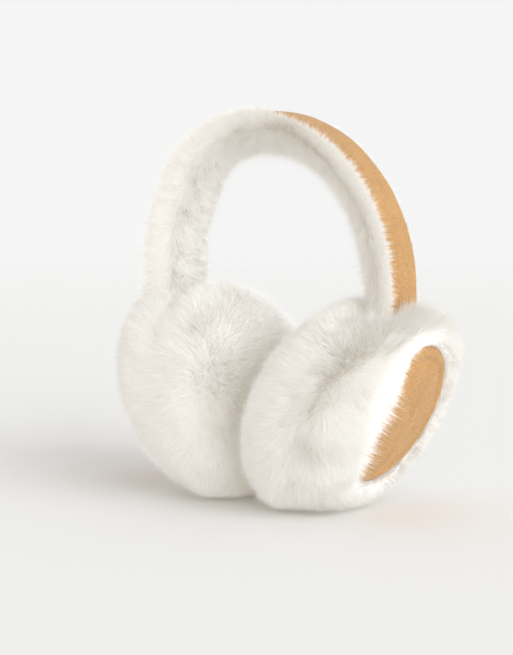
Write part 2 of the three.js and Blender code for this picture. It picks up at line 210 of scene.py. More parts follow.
class Shading:
    """The node tree of a material or of the room, and the shader at its end"""

    def __init__(self, owner, shader="Principled BSDF"):
        owner.use_nodes = True
        self.owner = owner
        self.tree = owner.node_tree
        self.shader = self.tree.nodes[shader]

    def node(self, kind, settings=None, sockets=None, output=0):
        made = self.tree.nodes.new(kind)
        for key, setting in (settings or {}).items():
            setattr(made, key, setting)
        for key, value in (sockets or {}).items():
            self.feed(made.inputs[key], value)
        return Value(self, made.outputs[output])

    def feed(self, socket, value):
        if isinstance(value, Value):
            self.tree.links.new(value.socket, socket)
        elif socket.type == "RGBA" and len(value) == 3:
            socket.default_value = (*value, 1.0)
        else:
            socket.default_value = value

    def surface(self, **values):
        """Sets sockets of the shader itself, such as base_color or sheen_weight"""
        for key, value in values.items():
            self.feed(self.shader.inputs[key.replace("_", " ").title().replace("Ior", "IOR")], value)
        return self.owner

    def place(self):
        """A point of the object in its own frame"""
        return self.node("ShaderNodeTexCoord", output=3)

    def noise(self, scale, detail=2.0, roughness=0.5, distortion=0.0):
        sockets = {"Scale": scale, "Detail": detail, "Roughness": roughness, "Distortion": distortion}
        return self.node("ShaderNodeTexNoise", {}, {"Vector": self.place(), **sockets})

    def mix(self, factor, first, second, blend="MIX"):
        settings = {"data_type": "RGBA", "blend_type": blend}
        return self.node("ShaderNodeMix", settings, {0: factor, 6: first, 7: second}, 2)

    def clamped(self, value, low, high):
        """0 below the low value, 1 above the high one and a soft step between them"""
        sockets = {0: value, 1: low, 2: high, 3: 0.0, 4: 1.0}
        return self.node("ShaderNodeMapRange", {"clamp": True, "interpolation_type": "SMOOTHSTEP"}, sockets)

    def bump(self, height, distance):
        return self.node("ShaderNodeBump", {}, {"Height": height, "Distance": distance, "Strength": 1.0})


def tinted(colour, share):
    return tuple(min(channel * share, 1.0) for channel in colour)


def hair_material(name, colour, roughness):
    shading = Shading(bpy.data.materials.new(name))
    grain = shading.noise(900.0, 2.0)
    # The warm emission is painted light: every hair glows faintly, which lifts and warms the shade in the
    # pile in place of light passing through and between the hairs.
    return shading.surface(
        base_color=colour, roughness=grain * 0.2 + roughness, sheen_weight=0.15, sheen_roughness=0.6,
        specular_ior_level=0.2, emission_color=(0.97, 0.885, 0.73), emission_strength=0.1,
    )


def backing_material(name, settings):
    shading = Shading(bpy.data.materials.new(name))
    # The backing takes the darker, warmer root colour: partly the undercoat's own cream, and partly painted
    # shade deep in the pile.
    tufts = shading.noise(160.0, 4.0, 0.6, 0.6)
    drift = shading.noise(28.0, 2.0)
    base = shading.mix(tufts, tinted(settings.root, 0.86), settings.root)
    base = shading.mix(shading.clamped(drift, 0.35, 0.7) * 0.4, base, settings.tip)
    return shading.surface(
        base_color=base, roughness=drift * 0.1 + 0.88, sheen_weight=0.3, sheen_roughness=0.6,
        specular_ior_level=0.2, normal=shading.bump(tufts, 0.0014),
    )


def suede_material(name, settings):
    """Brushed nap: a fine speckled grain, paler strokes of a hand drawn over it, and some darker places"""
    shading = Shading(bpy.data.materials.new(name))
    grain = shading.noise(2300.0, 2.0, 0.8)
    fibre = shading.noise(1100.0, 3.0, 0.7, 0.3)
    strokes = shading.noise(70.0, 2.0, 0.5, 0.4)
    patches = shading.noise(19.0, 2.0, 0.5)
    nap = shading.mix(shading.clamped(grain * 0.55 + fibre * 0.45, 0.36, 0.64), tinted(settings.tan, 0.6),
                      tinted(settings.tan, 1.3))
    brushed = shading.mix(shading.clamped(strokes, 0.42, 0.66) * 0.22, nap, tinted(settings.tan, 1.3))
    worn = shading.mix(shading.clamped(patches, 0.45, 0.7) * 0.2, brushed, tinted(settings.tan, 0.84))
    height = grain * 0.6 + fibre * 0.4 + strokes * 0.25
    return shading.surface(
        base_color=worn, roughness=strokes * 0.12 + 0.84, sheen_weight=0.3, sheen_roughness=0.45,
        sheen_tint=(1.0, 0.82, 0.62, 1.0), specular_ior_level=0.2, normal=shading.bump(height, settings.nap),
    )


# Mesh making


def smooth_random(points, wavelength, seed):
    """A soft random value of about -1 to 1 at each point"""
    rng = np.random.default_rng(seed)
    total = np.zeros(len(points))
    for _ in range(7):
        way = rng.normal(size=3)
        way *= 2 * math.pi / (wavelength * rng.uniform(0.75, 1.35) * np.linalg.norm(way))
        total += np.sin(points @ way + rng.uniform(0, 2 * math.pi))
    return total / 2.6


def unit(vectors):
    return vectors / np.maximum(np.linalg.norm(vectors, axis=-1, keepdims=True), 1e-9)


def smoothstep(values, low, high):
    share = np.clip((values - low) / (high - low), 0, 1)
    return share * share * (3 - 2 * share)


def bell(values, middle, width, power=2):
    """1 at the middle, less than half at the width, and nothing well beyond it"""
    return np.exp(-(((values - middle) / width) ** power))


def rounded(values, rounding):
    """A sine or cosine round a quarter of an outline: 2 gives an ellipse, and more a rounded box"""
    return np.maximum(values, 0) ** (2 / rounding)


def apart_from(turn, degrees):
    """How far a turn round a pad is from another one, in radians"""
    return np.abs((turn - math.radians(degrees) + math.pi) % (2 * math.pi) - math.pi)


def make_mesh(name, points, corners, sizes, materials, indices=None):
    """An object of polygons from flat arrays: corner vertices and the number of corners of each polygon"""
    mesh = bpy.data.meshes.new(name)
    sizes = np.asarray(sizes, np.int32)
    corners = np.asarray(corners, np.int32).ravel()
    mesh.vertices.add(len(points))
    mesh.vertices.foreach_set("co", np.asarray(points, np.float32).ravel())
    mesh.loops.add(len(corners))
    mesh.loops.foreach_set("vertex_index", corners)
    mesh.polygons.add(len(sizes))
    mesh.polygons.foreach_set("loop_start", np.concatenate([[0], np.cumsum(sizes)[:-1]]).astype(np.int32))
    mesh.polygons.foreach_set("use_smooth", np.ones(len(sizes), bool))
    if indices is not None:
        mesh.polygons.foreach_set("material_index", np.asarray(indices, np.int32))
    for material in materials:
        mesh.materials.append(material)
    mesh.update(calc_edges=True)
    mesh.validate()
    made = bpy.data.objects.new(name, mesh)
    bpy.context.scene.collection.objects.link(made)
    return made


def grid_faces(rows, columns):
    """Quads of a grid of rows by columns that is closed round its columns"""
    row, column = np.meshgrid(np.arange(rows - 1), np.arange(columns), indexing="ij")
    here, onward = row * columns, (row + 1) * columns
    after = (column + 1) % columns
    return np.stack([here + column, here + after, onward + after, onward + column], -1).reshape(-1, 4)


def closed_body(name, points, rows, columns, material, flipped=False):
    """A closed body of one material: a grid round its columns, and a fan from each of the two end points,
    which come after the points of the grid"""
    first, last = rows * columns, (rows - 1) * columns
    ring = np.arange(columns)
    after = (ring + 1) % columns
    fans = np.concatenate([
        np.stack([np.full(columns, first), after, ring], -1),
        np.stack([np.full(columns, first + 1), last + ring, last + after], -1),
    ])
    quads = grid_faces(rows, columns)
    if flipped:
        quads, fans = quads[:, ::-1], fans[:, ::-1]
    sizes = np.concatenate([np.full(len(quads), 4), np.full(len(fans), 3)])
    return make_mesh(name, points, np.concatenate([quads.ravel(), fans.ravel()]), sizes, [material])


def hair_mesh(name, hairs, settings, materials, rng, keep=slice(None)):
    """Every hair is a blade that narrows from its root to a point, shaded softly like the pile round it"""
    count = len(hairs[0])
    width = settings.hair * rng.uniform(0.7, 1.15, count)
    choice = rng.choice(len(materials), count, p=SHADES)
    root, tip, across, normal = (values[keep] for values in hairs)
    side = across * (width[keep] / 2)[:, None]
    points = np.stack([root - side, root + side, tip], 1)
    corners = np.arange(3 * len(root))
    made = make_mesh(name, points.reshape(-1, 3), corners, np.full(len(root), 3), materials, choice[keep])
    flat = unit(np.cross(2 * side, tip - root))
    soft = unit(flat * (1 - SOFT) + normal * SOFT)
    made.data.normals_split_custom_set_from_vertices(np.repeat(soft, 3, 0).astype(np.float32))
    return made


class Surface:
    """A surface that hair grows on: a point for each place (along, turn), with its normal and two tangents"""

    turns = (0.0, 2 * math.pi)
    step = 0.004

    def point(self, along, turn):
        raise NotImplementedError

    def frame(self, along, turn):
        onward = unit(self.point(along + self.step, turn) - self.point(along - self.step, turn))
        around = unit(self.point(along, turn + self.step) - self.point(along, turn - self.step))
        return self.point(along, turn), unit(np.cross(onward, around)) * self.outward, onward, around

    def scatter(self, count, rng, low, high):
        """Places spread evenly over the surface"""
        rows, columns = 61, 97
        edges = np.linspace(low, high, rows)
        bends = np.linspace(*self.turns, columns)
        grid = self.point(np.repeat(edges, columns), np.tile(bends, rows)).reshape(rows, columns, 3)
        over = grid[1:, :-1] - grid[:-1, :-1]
        aside = grid[:-1, 1:] - grid[:-1, :-1]
        area = np.linalg.norm(np.cross(over, aside), axis=-1).ravel()
        cell = rng.choice(len(area), count, p=area / area.sum())
        row, column = np.divmod(cell, columns - 1)
        along = edges[row] + (edges[1] - edges[0]) * rng.random(count)
        turn = bends[column] + (bends[1] - bends[0]) * rng.random(count)
        return along, turn


class PadSurface(Surface):
    """The backing of an ear pad in its own frame: x out through the disc, y to the back, z up the tilted pad.
    It runs from the middle of the face on the ear, 0, over the rim to the crest of the ring, 1, and down to
    the disc."""

    outward = 1.0

    def __init__(self, side, out, height, tilt, parted, proud, swept, inset):
        self.side, self.out, self.height = side, out, height
        self.parted, self.proud, self.swept = parted, proud, swept
        self.tilt, self.inset = math.radians(tilt), inset

    def profile(self, along):
        quarter = math.pi / 2
        inner = quarter * (1 - np.clip(along, 0, INNER_SHARE) / INNER_SHARE)
        outer = quarter * (np.clip(along, INNER_SHARE, 1) - INNER_SHARE) / (1 - INNER_SHARE)
        lip = quarter * np.clip((along - 1) / LIP_SHARE, 0, 1)
        ear_station = -PAD_INNER_HALF * rounded(np.sin(inner), PAD_ROUNDING)
        ear_radius = PAD_RADIUS * rounded(np.cos(inner), PAD_ROUNDING)
        station = PAD_OUTER_HALF * rounded(np.sin(outer), RING_ROUNDING) - LIP_FALL * (1 - np.cos(lip))
        radius = RING_RADIUS + (PAD_RADIUS - RING_RADIUS) * rounded(np.cos(outer), RING_ROUNDING)
        radius = radius - LIP_RUN * np.sin(lip)
        on_ear = along < INNER_SHARE
        return np.where(on_ear, ear_station, station), np.where(on_ear, ear_radius, radius)

    def parted_at(self, turn):
        """How clearly the hair parts at this turn, from 0 to 1"""
        return self.parted * (0.1 + 0.9 * bell(apart_from(turn, FRONT), 0, math.radians(30)))

    def parting(self, station, turn):
        """How deep the hair parts at this place, from 0 to 1"""
        return self.parted_at(turn) * bell(station, PARTING_STATION, PARTING_WIDTH)

    def point(self, along, turn):
        station, radius = self.profile(along)
        bare = radius - self.inset * (1 - smoothstep(along, 0.78, 0.94))
        bare = bare - PARTING_DEPTH * self.parting(station, turn)
        lift = PAD_LIFT * np.maximum(station / PAD_OUTER_HALF, 0)
        station = np.where(along < INNER_SHARE, station * (1 - self.inset / PAD_INNER_HALF), station)
        proud = self.proud * fringe(turn) - 1.6 * MM * bell(apart_from(turn, 0), 0, math.radians(45))
        proud = proud * smoothstep(along, 0.84, 0.98)
        station = station - np.where(along < INNER_SHARE, 0, self.inset * station / PAD_OUTER_HALF) + proud
        where = np.stack([station, bare * np.sin(turn), bare * np.cos(turn) + lift], -1)
        for place, turned, depth, spread in DENTS:
            mid_station, mid_radius = self.profile(np.array(place))
            angle = math.radians(turned)
            middle = np.array([mid_station, mid_radius * math.sin(angle), mid_radius * math.cos(angle)])
            fade = bell(np.linalg.norm(where - middle, axis=-1), 0, spread * MM)
            where = where - unit(where) * (depth * MM * fade)[..., None]
        swell = smooth_random(where.reshape(-1, 3), 34 * MM, SEED).reshape(where.shape[:-1])
        ripple = smooth_random(where.reshape(-1, 3), 15 * MM, SEED + 1).reshape(where.shape[:-1])
        return where + unit(where) * ((0.4 * swell + 0.3 * ripple) * MM)[..., None]

    def to_world(self, vectors, placed=True):
        """Points, or directions where they aren't placed, turned from the pad's own frame"""
        x, y, z = vectors[..., 0], vectors[..., 1], vectors[..., 2]
        turned_x = math.cos(self.tilt) * x + math.sin(self.tilt) * z
        turned_z = -math.sin(self.tilt) * x + math.cos(self.tilt) * z
        if not placed:
            return np.stack([self.side * turned_x, y, turned_z], -1)
        beside = self.side * (self.out + turned_x)
        return np.stack([MIDDLE_X + beside, MIDDLE_Y + y, self.height + turned_z], -1)

    def settle(self, points, low, apart):
        """Hair and backing lie flat on the floor, and against the plane between the pads"""
        kept = points.copy()
        kept[..., 2] = np.maximum(kept[..., 2], low)
        beside = self.side * (kept[..., 0] - MIDDLE_X)
        kept[..., 0] = MIDDLE_X + self.side * np.maximum(beside, PADS_GAP / 2 + apart)
        return kept


class BandSurface(Surface):
    """The fur side of the headband: along from the end in the right pad to the end in the left one, and turn
    round its section from one edge of the suede under the band to the other edge"""

    turns = (0.0, 1.0)
    outward = -1.0
    step = 0.002

    def __init__(self, inset):
        self.inset = inset
        self.arc = math.pi / 4 * (BAND_HALF_SPAN + SEAT_TOP - SPRING)

    def seat(self, along):
        """Centreline of the suede's seat and the way out from it"""
        share = np.clip(along, 0, 1)
        travel = np.minimum(share, 1 - share) * 2 * (BAND_LEG + self.arc)
        side = np.where(share < 0.5, 1.0, -1.0)
        angle = math.pi / 2 * np.clip((travel - BAND_LEG) / self.arc, 0, 1)
        cosine, sine = rounded(np.cos(angle), BAND_ROUNDING), rounded(np.sin(angle), BAND_ROUNDING)
        on_leg = travel < BAND_LEG
        x = side * BAND_HALF_SPAN * np.where(on_leg, 1, cosine) - BAND_LEAN * np.where(on_leg, 0, sine**2)
        z = np.where(on_leg, BAND_END + travel, SPRING + (SEAT_TOP - SPRING) * sine)
        return np.stack([MIDDLE_X + x, np.full_like(x, MIDDLE_Y), z], -1)

    def outwards(self, along):
        ahead = self.seat(np.minimum(along + 0.004, 1)) - self.seat(np.maximum(along - 0.004, 0))
        ahead = unit(ahead)
        return np.stack([ahead[..., 2], np.zeros(len(ahead)), -ahead[..., 0]], -1)

    def section(self, turn):
        """Across and inwards shares of the section, a rounded box"""
        angle, power = math.pi * np.clip(turn, 0, 1), 0.74
        across = np.sign(np.cos(angle)) * np.abs(np.cos(angle)) ** power
        return across, np.maximum(np.sin(angle), 0) ** power

    def point(self, along, turn):
        across, inward = self.section(turn)
        out = self.outwards(along)
        rise = BACKING_RISE - inward * (BAND_DEPTH + BACKING_RISE - self.inset)
        where = self.seat(along) + out * rise[..., None]
        where[..., 1] += across * (BAND_HALF - self.inset * 0.6)
        swell = smooth_random(where, 24 * MM, SEED + 2)
        return where - out * (swell * 0.6 * MM * inward)[..., None]


def grow(surface, along, turn, comb, lean, length, settings, rng, tufts=None):
    """Root, tip, width direction and soft normal of a hair at each place. comb gives the way the hair lies,
    and lean how far it stands up, from 0 flat to 1 upright."""
    root, normal, onward, around = surface.frame(along, turn)
    way = comb(root, normal, onward, around, along, turn) + rng.normal(0, 0.3, (len(root), 3))
    way = unit(way - normal * np.sum(way * normal, -1, keepdims=True))
    stand = np.clip(lean + rng.normal(0, 0.08, len(root)), 0.12, 0.97)[:, None]
    rise = unit(way * (1 - stand) + normal * stand)
    root = root - normal * 0.4 * MM
    tip = root + rise * length[:, None]
    if tufts is not None:
        nearest, aims = tufts
        pull = (settings.clumping * rng.uniform(0.3, 1.0, len(root)))[:, None]
        tip = tip + (aims[nearest] - tip) * pull
    aside = unit(np.cross(tip - root, normal) + 1e-7)
    twist = rng.normal(0, 0.35, len(root))[:, None]
    across = unit(aside * np.cos(twist) + unit(np.cross(aside, tip - root)) * np.sin(twist))
    facing = np.sum(np.cross(across, tip - root) * normal, -1, keepdims=True)
    return root, tip, across * np.sign(facing + 1e-12), normal


def uneven_lengths(count, rng):
    """Shares of the pile: most hairs are nearly as long as it, and one in five stands out of it"""
    return rng.uniform(0.7, 1.0, count) * np.where(rng.random(count) < 0.2, rng.uniform(1.1, 1.7, count), 1.0)


def nearest_tuft(points, centres):
    tree = KDTree(len(centres))
    for index, centre in enumerate(centres):
        tree.insert(centre, index)
    tree.balance()
    return np.array([tree.find(point)[1] for point in points])


def grow_tufts(surface, count, low, high, comb, lean, lengths, settings, rng):
    """Hairs all over the surface from low to high along it, in tufts whose tips lean together"""
    centres = surface.scatter(count // TUFT, rng, low, high)
    aims = grow(surface, *centres, comb, lean(*centres), lengths(*centres), settings, rng)
    places = surface.scatter(count, rng, low, high)
    nearest = nearest_tuft(surface.point(*places), surface.point(*centres))
    return grow(surface, *places, comb, lean(*places), lengths(*places), settings, rng, (nearest, aims[1]))


# Ear pads


def pad_comb(pad):
    """Hair of a pad: to the ear before the parting and to the disc after it, or all to the disc where the pad
    is swept one way, and a little down everywhere"""
    down = np.array([math.sin(pad.tilt), 0.0, -math.cos(pad.tilt)])

    def comb(root, normal, onward, around, along, turn):
        station, _ = pad.profile(along)
        sweep = np.tanh((station - PARTING_STATION) / ((5 + 16 * (1 - pad.parted_at(turn))) * MM))
        sweep = sweep * (1 - pad.swept) + 0.6 * pad.swept
        face = 1 - smoothstep(along, 0.18, 0.5)
        over = smoothstep(along, 0.86, 0.98)
        pull = sweep * (1 - 0.85 * face) * (1 + over * (1.5 * fringe(turn) - 0.9))
        fall = 0.55 - 0.3 * pad.swept
        way = onward * pull[:, None] + down * (fall * (1 - 0.64 * over))[:, None]
        swirl = smooth_random(root, 17 * MM, SEED + 3) + 0.6 * smooth_random(root, 7 * MM, SEED + 4)
        drift = smooth_random(root, 14 * MM, SEED + 5) + 0.6 * smooth_random(root, 6 * MM, SEED + 6)
        calm = 1 - 0.45 * face
        way = way + around * (0.2 * swirl * (1 - 0.6 * over) * calm)[:, None]
        return way + onward * (0.14 * drift * calm)[:, None]

    return comb


def fringe(turn):
    """How far the hair of the ring falls over the disc: most at the front, from 0 to 1"""
    return bell(apart_from(turn, FRONT), 0, math.radians(47), 4)


def top_fur(along, turn):
    """Where the pile of the rim stands tall round the headband, from 0 to 1"""
    crown = smoothstep(along, 0.56, 0.66) * (1 - smoothstep(along, 0.82, 0.92))
    return crown * bell(apart_from(turn, 0), 0, math.radians(34))


def pad_hair(pad, name, low, high, settings, materials, seed):
    """The pile of a pad between two places along its profile"""
    rng = np.random.default_rng(seed)

    def lean(along, turn):
        station, _ = pad.profile(along)
        face = 1 - smoothstep(along, 0.12, 0.42)
        over = smoothstep(along, 0.9, 1.02)
        upright = 0.56 + 0.08 * face + 0.1 * pad.parting(station, turn) + over * 0.24
        return upright + 0.25 * top_fur(along, turn)

    def lengths(along, turn):
        """Full on the face and the rim, and cut on the lip of the ring and on the rim next to it"""
        lip = smoothstep(along, 0.88, 1.0)
        if pad.side > 0:
            cut = lip * (0.5 + 0.35 * bell(apart_from(turn, 0), 0, math.radians(45)) - 0.8 * fringe(turn))
            back = bell(apart_from(turn, 115), 0, 1.1, 4)
            cut = cut + 0.35 * back * smoothstep(along, 0.68, 0.84) * (1 - lip) - 0.5 * top_fur(along, turn)
        else:
            cut = 0.5 * lip + 0.3 * smoothstep(along, 0.68, 0.85) * (1 - lip)
        return settings.pile * uneven_lengths(len(along), rng) * (1 - cut)

    root, tip, across, normal = grow_tufts(
        pad, settings.pad_hairs, low, high, pad_comb(pad), lean, lengths, settings, rng
    )
    root, tip = pad.to_world(root), pad.to_world(tip)
    across, normal = pad.to_world(across, placed=False), pad.to_world(normal, placed=False)
    across *= pad.side
    keep = ~inside_band(root, 1 * MM) & (root[:, 2] > -2.5 * MM)
    flat = rng.uniform(0.2, 2.6, len(root)) * MM
    root, tip = pad.settle(root, 0.3 * MM, 0.1 * MM), pad.settle(tip, 0.3 * MM, 0.1 * MM)
    tip[:, 2] = np.maximum(tip[:, 2], flat)
    return hair_mesh(name, (root, tip, across, normal), settings, materials, rng, keep)


def inside_band(points, margin):
    """Whether a point lies where the headband goes into a pad"""
    beside = np.abs(points[:, 0] - MIDDLE_X) - BAND_HALF_SPAN
    across = np.abs(points[:, 1] - MIDDLE_Y)
    inner, outer = -(BAND_DEPTH + margin), SUEDE_WALL + CLEARANCE + margin
    level = (beside > inner) & (beside < outer) & (across < BAND_HALF + margin)
    return level & (points[:, 2] > BAND_END - margin)


def pad_backing(pad, name, material):
    """A closed turned body with the seat of the disc in its outer face"""
    rows, columns = 84, 132
    along = np.linspace(0.004, 1 + LIP_SHARE, rows)
    turn = np.linspace(0, 2 * math.pi, columns, endpoint=False)
    points = [pad.point(np.repeat(along, columns), np.tile(turn, rows))]
    for radius in (DISC_RADIUS + CLEARANCE, DISC_RADIUS * 0.5):
        ring = [np.full(columns, DISC_SEAT), radius * np.sin(turn), radius * np.cos(turn) + PAD_LIFT]
        points.append(np.stack(ring, -1))
    ends = [pad.point(np.array([0.0]), np.array([0.0])), [[DISC_SEAT, 0, PAD_LIFT]]]
    points = pad.settle(pad.to_world(np.concatenate(points + ends)), 0.4 * MM, 0.3 * MM)
    return closed_body(name, points, rows + 2, columns, material, flipped=pad.side > 0)


class EARMUFFS_OT_ear_pads(bpy.types.Operator):
    """Make the two fur ear pads"""

    bl_idname = "earmuffs.ear_pads"
    bl_label = "Ear pads"

    def execute(self, context):
        settings = context.scene.earmuff_fur
        hair = fur_materials(settings)
        backing = backing_material("fur backing", settings)
        for index, (word, place) in enumerate(PAD_PLACES.items()):
            pad = PadSurface(**place, inset=settings.inset)
            body = pad_backing(pad, f"pad_backing_{word}", backing)
            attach(body, "root")
            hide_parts(f"ear_pad_fur_{word}")
            seed = SEED + 10 * (index + 1)
            for part, low, high in (("face", 0.0, 0.5), ("rim", 0.5, 1 + LIP_SHARE)):
                pile = pad_hair(pad, f"pad_pile_{part}_{word}", low, high, settings, hair, seed + len(part))
                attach(pile, "root")
        return {"FINISHED"}


def fur_materials(settings):
    return [
        hair_material("fur white", settings.tip, 0.7),
        hair_material("fur cream", tinted(settings.tip, 0.93), 0.74),
        hair_material("fur bright", tinted(settings.tip, 1.02), 0.68),
    ]


# Headband


def band_hair(band, name, settings, materials, seed):
    """The pile of the headband, all but its two hidden ends"""
    rng = np.random.default_rng(seed)

    def over_suede(along, turn):
        """How far the pile is swept over the front edge of the suede, from 0 to 1"""
        edge = np.abs(np.cos(math.pi * turn)) ** 3
        front = turn > 0.5
        return edge * np.where(front, 1 - 0.6 * bell(along, 0.42, 0.09), 0.0)

    def corner(along, turn):
        """Where the front of the right leg meets its inner side, and the hair lies along it, from 0 to 1"""
        return (1 - smoothstep(along, 0.38, 0.5)) * bell(turn, 0.78, 0.1)

    def comb(root, normal, onward, around, along, turn):
        towards_end = np.where(along < 0.5, -1.0, 1.0)
        ahead = towards_end * (0.4 - 0.35 * bell(along, 0.5, 0.06) + 0.8 * corner(along, turn))
        swirl = smooth_random(root, 15 * MM, SEED + 7) + 0.6 * smooth_random(root, 6 * MM, SEED + 8)
        edge = np.abs(np.cos(math.pi * turn)) ** 1.5
        way = onward * (ahead + (0.3 - 0.18 * np.sin(math.pi * turn) ** 2) * swirl)[:, None]
        turned = np.where(turn > 0.5, 1.7 * over_suede(along, turn), 0.5 * edge)
        return way + around * (turned + 0.2 * smooth_random(root, 5 * MM, SEED + 9))[:, None]

    def lean(along, turn):
        return 0.72 - 0.54 * over_suede(along, turn) - 0.2 * corner(along, turn)

    def lengths(along, turn):
        """Shorter along the edges, all but the front one of the left leg, and longest under the crown"""
        even = uneven_lengths(len(along), rng)
        left = smoothstep(along, 0.48, 0.62)
        edge = np.abs(np.cos(math.pi * turn)) ** 3
        top = bell(along, 0.53, 0.12)
        front = 0.15 * smoothstep(along, 0.62, 0.8) - 0.5 * top - 0.25 * (1 - smoothstep(along, 0.4, 0.5))
        crown = bell(along, 0.5, 0.13)
        under = np.sin(math.pi * turn) ** 2 * (0.3 * crown - 0.25 * left * (1 - crown))
        share = 1.05 + np.where(turn > 0.5, front, -0.45) * edge + under
        return settings.pile * even * (share + 0.2 * corner(along, turn))

    hairs = grow_tufts(band, settings.band_hairs, 0.03, 0.97, comb, lean, lengths, settings, rng)
    return hair_mesh(name, hairs, settings, materials, rng)


def band_backing(band, name, material):
    """A closed body that the pile covers, flat where the suede lies on it"""
    rows, columns = 150, 44
    along = np.linspace(0, 1, rows)
    turn = np.linspace(0, 1, columns)
    points = band.point(np.repeat(along, columns), np.tile(turn, rows)).reshape(rows, columns, 3)
    edges = np.array([[0, -BACKING_EDGE, 0], [0, BACKING_EDGE, 0]])
    points = np.concatenate([points, band.seat(along)[:, None] + edges], 1)
    ends = points[[0, -1]].mean(1)
    points = np.concatenate([points.reshape(-1, 3), ends])
    return closed_body(name, points, rows, columns + 2, material, flipped=True)


class EARMUFFS_OT_headband_fur(bpy.types.Operator):
    """Make the fur that lines the headband"""

    bl_idname = "earmuffs.headband_fur"
    bl_label = "Headband fur"

    def execute(self, context):
        settings = context.scene.earmuff_fur
        band = BandSurface(settings.inset)
        body = band_backing(band, "headband_backing", backing_material("headband backing", settings))
        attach(body, "root")
        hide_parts("headband_fur")
        pile = band_hair(band, "headband_pile", settings, fur_materials(settings), SEED + 50)
        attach(pile, "root")
        return {"FINISHED"}


def strip_section():
    """Section of the strip from edge to edge over its top and back below: shares across and up"""
    over = np.linspace(-1, 1, 25)
    crown = 0.55 + 0.45 * (1 - over**2) ** 0.5
    edge = np.clip((1 - np.abs(over)) / 0.06, 0, 1) ** 0.5
    top = np.stack([over, crown * edge], -1)
    under = np.stack([np.linspace(0.97, -0.97, 9), np.zeros(9)], -1)
    return np.concatenate([top, under])


def strip_body(seat, out, name, material):
    """The strip laid along its seat, with soft creases in its top"""
    section = strip_section()
    rows, columns = len(seat), len(section)
    height = CLEARANCE + section[:, 1] * SUEDE_WALL
    points = seat[:, None] + out[:, None] * height[None, :, None]
    points[..., 1] += section[:, 0] * SUEDE_HALF
    points = points.reshape(-1, 3)
    on_top = np.tile(section[:, 1] > 0.2, rows)
    crease = 0.16 * smooth_random(points, 30 * MM, SEED + 60)
    crease += 0.07 * smooth_random(points, 11 * MM, SEED + 61)
    points = points - np.repeat(out, columns, 0) * ((np.abs(crease) * MM) * on_top)[:, None]
    ends = points.reshape(rows, columns, 3)[[0, -1]].mean(1)
    return closed_body(name, np.concatenate([points, ends]), rows, columns, material)


class EARMUFFS_OT_headband_suede(bpy.types.Operator):
    """Make the suede strip on the outer face of the headband"""

    bl_idname = "earmuffs.headband_suede"
    bl_label = "Headband suede"

    def execute(self, context):
        settings = context.scene.earmuff_suede
        band = BandSurface(0.0)
        along = np.linspace(0.0, 1.0, 220)
        seat = band.seat(along)
        material = suede_material("strip suede", settings)
        strip = strip_body(seat, band.outwards(along), "suede_strip", material)
        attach(strip, "root")
        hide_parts("headband_suede")
        return {"FINISHED"}


# Discs


def disc_height(reach, settings):
    """Dome of a disc with a padded rim that stands up a little inside its turned edge"""
    dome = DISC_DOME * (1 - reach**2) ** 0.9
    rim = settings.rim * bell(reach, 0.9, 0.05)
    channel = -0.6 * settings.rim * bell(reach, 0.8, 0.05)
    return dome + rim + channel


def disc_points(settings, columns):
    """Rings of a disc in the pad's own frame, from its middle over the rolled rim to the hollow back, and
    then the middles of its two faces"""
    reach = np.concatenate([np.linspace(0.02, 0.96, 44), [0.975, 0.988, 0.997, 1.0]])
    rolled = -1.1 * MM * np.clip((reach - 0.96) / 0.04, 0, 1) ** 2
    back = np.array([[1, -1.6 * MM], [0.97, -DISC_WALL], [0.5, DISC_DOME * 0.6 - DISC_WALL]])
    radius = np.concatenate([reach, back[:, 0]])[:, None] * DISC_RADIUS
    rise = np.concatenate([disc_height(reach, settings) + rolled, back[:, 1]])
    turn = np.linspace(0, 2 * math.pi, columns, endpoint=False)
    points = np.stack([
        np.repeat(DISC_STATION + rise, columns),
        (radius * np.sin(turn)).ravel(),
        (radius * np.cos(turn)).ravel() + PAD_LIFT,
    ], -1)
    from_edge = 1 - np.hypot(points[:, 1], points[:, 2] - PAD_LIFT) / DISC_RADIUS
    soft = 0.3 * smooth_random(points, 21 * MM, SEED + 70) + 0.12 * smooth_random(points, 9 * MM, SEED + 71)
    on_top = np.arange(len(points)) < len(reach) * columns
    points[:, 0] += soft * MM * smoothstep(from_edge, 0.08, 0.3) * on_top
    middle, below = points[:columns, 0].mean(), DISC_STATION + DISC_DOME * 0.9 - DISC_WALL
    return np.concatenate([points, [[middle, 0, PAD_LIFT], [below, 0, PAD_LIFT]]])


class EARMUFFS_OT_discs(bpy.types.Operator):
    """Make the domed suede discs"""

    bl_idname = "earmuffs.discs"
    bl_label = "Discs"

    def execute(self, context):
        settings = context.scene.earmuff_suede
        material = suede_material("disc suede", settings)
        columns = 144
        points = disc_points(settings, columns)
        rows = len(points) // columns
        for word, place in PAD_PLACES.items():
            pad = PadSurface(**place, inset=0.0)
            placed = pad.to_world(points)
            disc = closed_body(f"disc_{word}", placed, rows, columns, material, flipped=pad.side > 0)
            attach(disc, "root")
            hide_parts(f"suede_disc_{word}")
        return {"FINISHED"}


# Studio


def paper_material(colour):
    """Pale paper that fades into the lit backdrop far from the earmuffs"""
    shading = Shading(bpy.data.materials.new("studio paper"))
    fibre = shading.noise(420.0, 4.0)
    tone = shading.mix(fibre, tinted(colour, 0.985), tinted(colour, 1.015))
    away = shading.node("ShaderNodeVectorMath", {"operation": "LENGTH"}, {0: shading.place()}, 1)
    fade = 1 - shading.clamped(away, 0.45, 2.3)
    return shading.surface(base_color=tone, roughness=fibre * 0.1 + 0.8, specular_ior_level=0.1, alpha=fade)


def paper_sheet(name, material):
    """A round sheet on the floor, with its rings closer together near the earmuffs"""
    rows, columns = 48, 96
    radius = (np.linspace(0.0, 1.0, rows) ** 1.5 * PAPER_RADIUS)[:, None]
    turn = np.linspace(0, 2 * math.pi, columns, endpoint=False)
    x, y = (radius * np.cos(turn)).ravel(), (radius * np.sin(turn)).ravel()
    quads = grid_faces(rows, columns)
    return make_mesh(name, np.stack([x, y, np.zeros(len(x))], -1), quads, np.full(len(quads), 4), [material])


